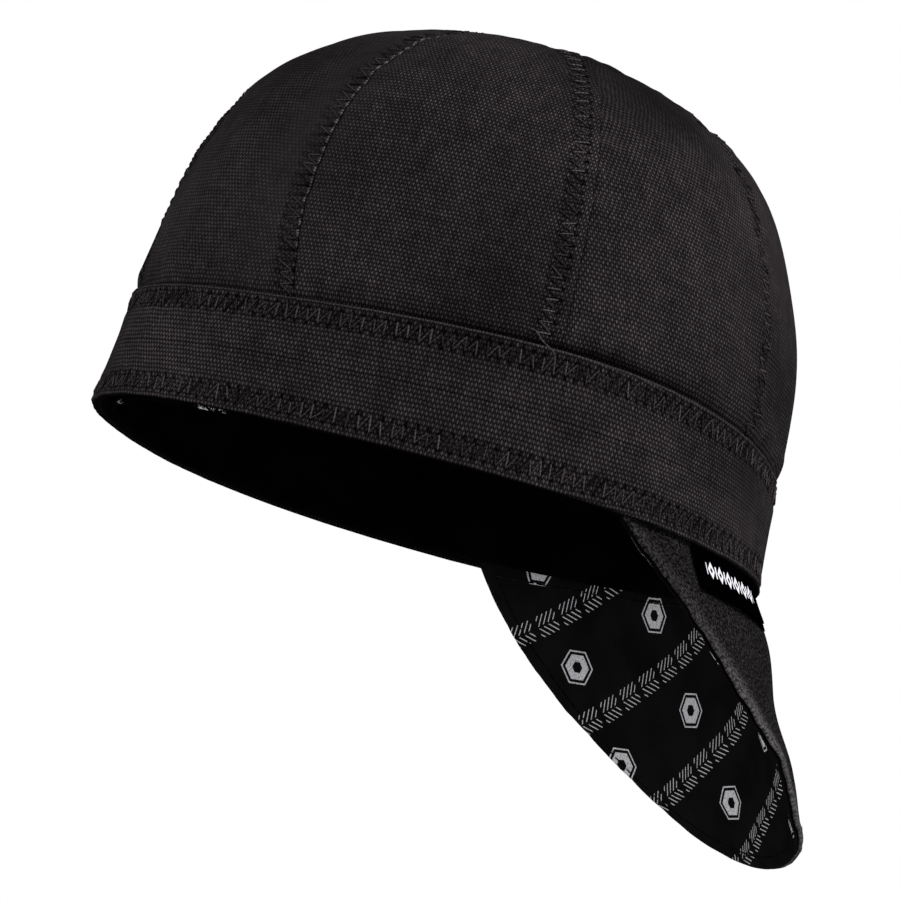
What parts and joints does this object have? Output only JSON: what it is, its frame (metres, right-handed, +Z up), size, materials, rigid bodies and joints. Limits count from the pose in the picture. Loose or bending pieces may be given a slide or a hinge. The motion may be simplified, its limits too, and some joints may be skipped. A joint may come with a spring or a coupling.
{
  "type": "welding cap",
  "caption": "Round canvas welder's cap with a panelled crown, a stitched band, a lining and a lined neck flap at the back.",
  "frame": {"origin": "centre of the head opening, in the plane of the rim", "axes": "+Z up through the crown, -Y towards the cap's front, +X towards the wearer's left"},
  "size_m": [0.1762, 0.2453, 0.2258],
  "materials": {
    "canvas": "matt black cotton duck canvas, plain weave",
    "brushed_cotton": "soft brushed charcoal cotton",
    "lining": null,
    "woven_tape": null
  },
  "bodies": {
    "root": {"crown_band": "canvas", "crown_panel_1": "canvas", "crown_panel_2": "canvas", "crown_panel_3": "canvas", "crown_panel_4": "canvas", "crown_panel_5": "canvas", "crown_panel_6": "canvas", "crown_panel_7": "canvas", "crown_panel_8": "canvas", "crown_lining": "lining", "neck_flap": "brushed_cotton", "neck_flap_lining": "lining", "side_tab": "woven_tape"}
  },
  "joints": []
}
